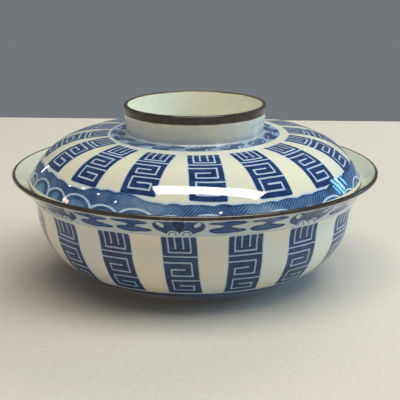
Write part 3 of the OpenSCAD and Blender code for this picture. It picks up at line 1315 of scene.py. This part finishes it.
lamps = {
    # middle, point it faces, width and depth in metres, watts, colour, and whether it lights the object
    # or only shows as a mirrored highlight
    "keyPanel": ((0.33, -0.41, 1.60), (0.33, -0.41, 0.0), (1.95, 1.05), 23.5, (1.0, 0.98, 0.93), "lights"),
    "backFill": ((0.60, 1.40, 1.10), (0.00, 0.20, 0.0), (1.2, 0.8), 12.0, (1.0, 0.97, 0.94), "lights"),
    "keyGlint": ((0.19, -0.34, 1.04), (0.19, -0.34, 0.0), (1.10, 0.25), 21.0, (1.0, 0.98, 0.95), "mirrors"),
    "coolFill": ((2.40, 0.12, 1.00), (0.0, 0.0, 0.05), (1.8, 1.2), 36.0, (0.52, 0.76, 1.0), "lights"),
    "underFoot": ((0.0, 0.0, 0.0015), (0.0, 0.0, 1.0), (0.064, 0.064), 0.0045, (0.96, 0.98, 1.0), "lights"),
    "warmFill": ((-1.20, -0.60, 0.40), (0.0, 0.0, 0.05), (0.7, 0.5), 1.8, (1.0, 0.68, 0.42), "lights"),
    "coolStreakA": ((0.908, 0.397, 0.36), lidRight, (0.03, 0.12), 0.12, (0.15, 0.58, 1.0), "mirrors"),
    "coolStreakB": ((0.880, 0.450, 0.37), lidRight, (0.045, 0.20), 0.38, (0.22, 0.66, 1.0), "mirrors"),
    "coolStreakC": ((0.850, 0.505, 0.35), lidRight, (0.035, 0.17), 0.30, (0.30, 0.72, 1.0), "mirrors"),
    "coolStreakD": ((0.810, 0.580, 0.31), lidRight, (0.025, 0.15), 0.12, (0.20, 0.60, 1.0), "mirrors"),
    "warmSpark": ((-0.964, 0.138, 0.438), lipLeft, (0.10, 0.05), 0.22, (1.0, 0.72, 0.50), "mirrors"),
    "violetStreak": ((-0.650, 0.769, 0.247), lidLeft, (0.02, 0.14), 0.12, (0.9, 0.72, 1.0), "mirrors"),
}
sparks = {
    # five small white highlights: middle and point each faces
    "sparkA": ((-1.036, 0.323, 0.648), (-0.056, -0.04, 0.06)),
    "sparkB": ((-1.007, 0.120, 0.766), (-0.056, -0.05, 0.06)),
    "sparkC": ((-0.957, -0.130, 0.838), (-0.05, -0.06, 0.06)),
    "sparkD": ((-0.851, -0.416, 0.870), (-0.04, -0.07, 0.06)),
    "sparkE": ((0.307, -0.861, 0.921), (0.01, -0.08, 0.06)),
}
for sparkName, (sparkMiddle, sparkTarget) in sparks.items():
    lamps[sparkName] = (sparkMiddle, sparkTarget, (0.03, 0.03), 0.09, (1.0, 1.0, 1.0), "mirrors")
glintSpin = radians(-8)


def makeLamps():
    for name, (middle, target, size, watts, tint, role) in lamps.items():
        data = bpy.data.lights.new(name, "AREA")
        data.shape = "RECTANGLE"
        data.size, data.size_y = size
        data.energy = watts
        data.color = tint
        lamp = bpy.data.objects.new(name, data)
        lamp.location = middle
        away = Vector(middle) - Vector(target)
        lamp.rotation_euler = away.to_track_quat("Z", "Y").to_euler()
        lamp.visible_diffuse = role == "lights"
        lamp.visible_glossy = role == "mirrors"
        bpy.context.scene.collection.objects.link(lamp)
    bpy.data.objects["keyGlint"].rotation_euler.z += glintSpin


cameraFacts = {
    "rise": 0.2410,
    "distance": 0.57820,
    "aimHeight": 0.057,
    "pan": -0.0043,
    "tilt": -0.0312,
    "roll": 0.0035,
    "lens": 99.0,
    "sensor": 36.0,
}


def makeCamera():
    # Placed on an arc in front of the lip's middle, aimed there, then panned, tilted and rolled a little
    s = cameraFacts
    rise = s["rise"]
    forward = Vector((0, np.cos(rise), -np.sin(rise)))
    side = Vector((1, 0, 0))
    up = side.cross(forward)
    pan = Matrix.Rotation(s["pan"], 3, up)
    forward, side = pan @ forward, pan @ side
    tilt = Matrix.Rotation(s["tilt"], 3, side)
    forward, up = tilt @ forward, tilt @ up
    roll = Matrix.Rotation(s["roll"], 3, forward)
    side, up = roll @ side, roll @ up
    data = bpy.data.cameras.new("photoCamera")
    data.lens = s["lens"]
    data.sensor_width = s["sensor"]
    data.clip_start, data.clip_end = 0.01, 20
    camera = bpy.data.objects.new("photoCamera", data)
    turn = Matrix((side, up, -forward)).transposed().to_4x4()
    middle = Vector((0, -s["distance"] * np.cos(rise), s["aimHeight"] + s["distance"] * np.sin(rise)))
    camera.matrix_world = Matrix.Translation(middle) @ turn
    bpy.context.scene.collection.objects.link(camera)
    bpy.context.scene.camera = camera


makeFloor()
makeWorld()
makeLamps()
makeCamera()
bpy.context.scene.view_settings.view_transform = "Standard"
print("bowl scene: studio set")
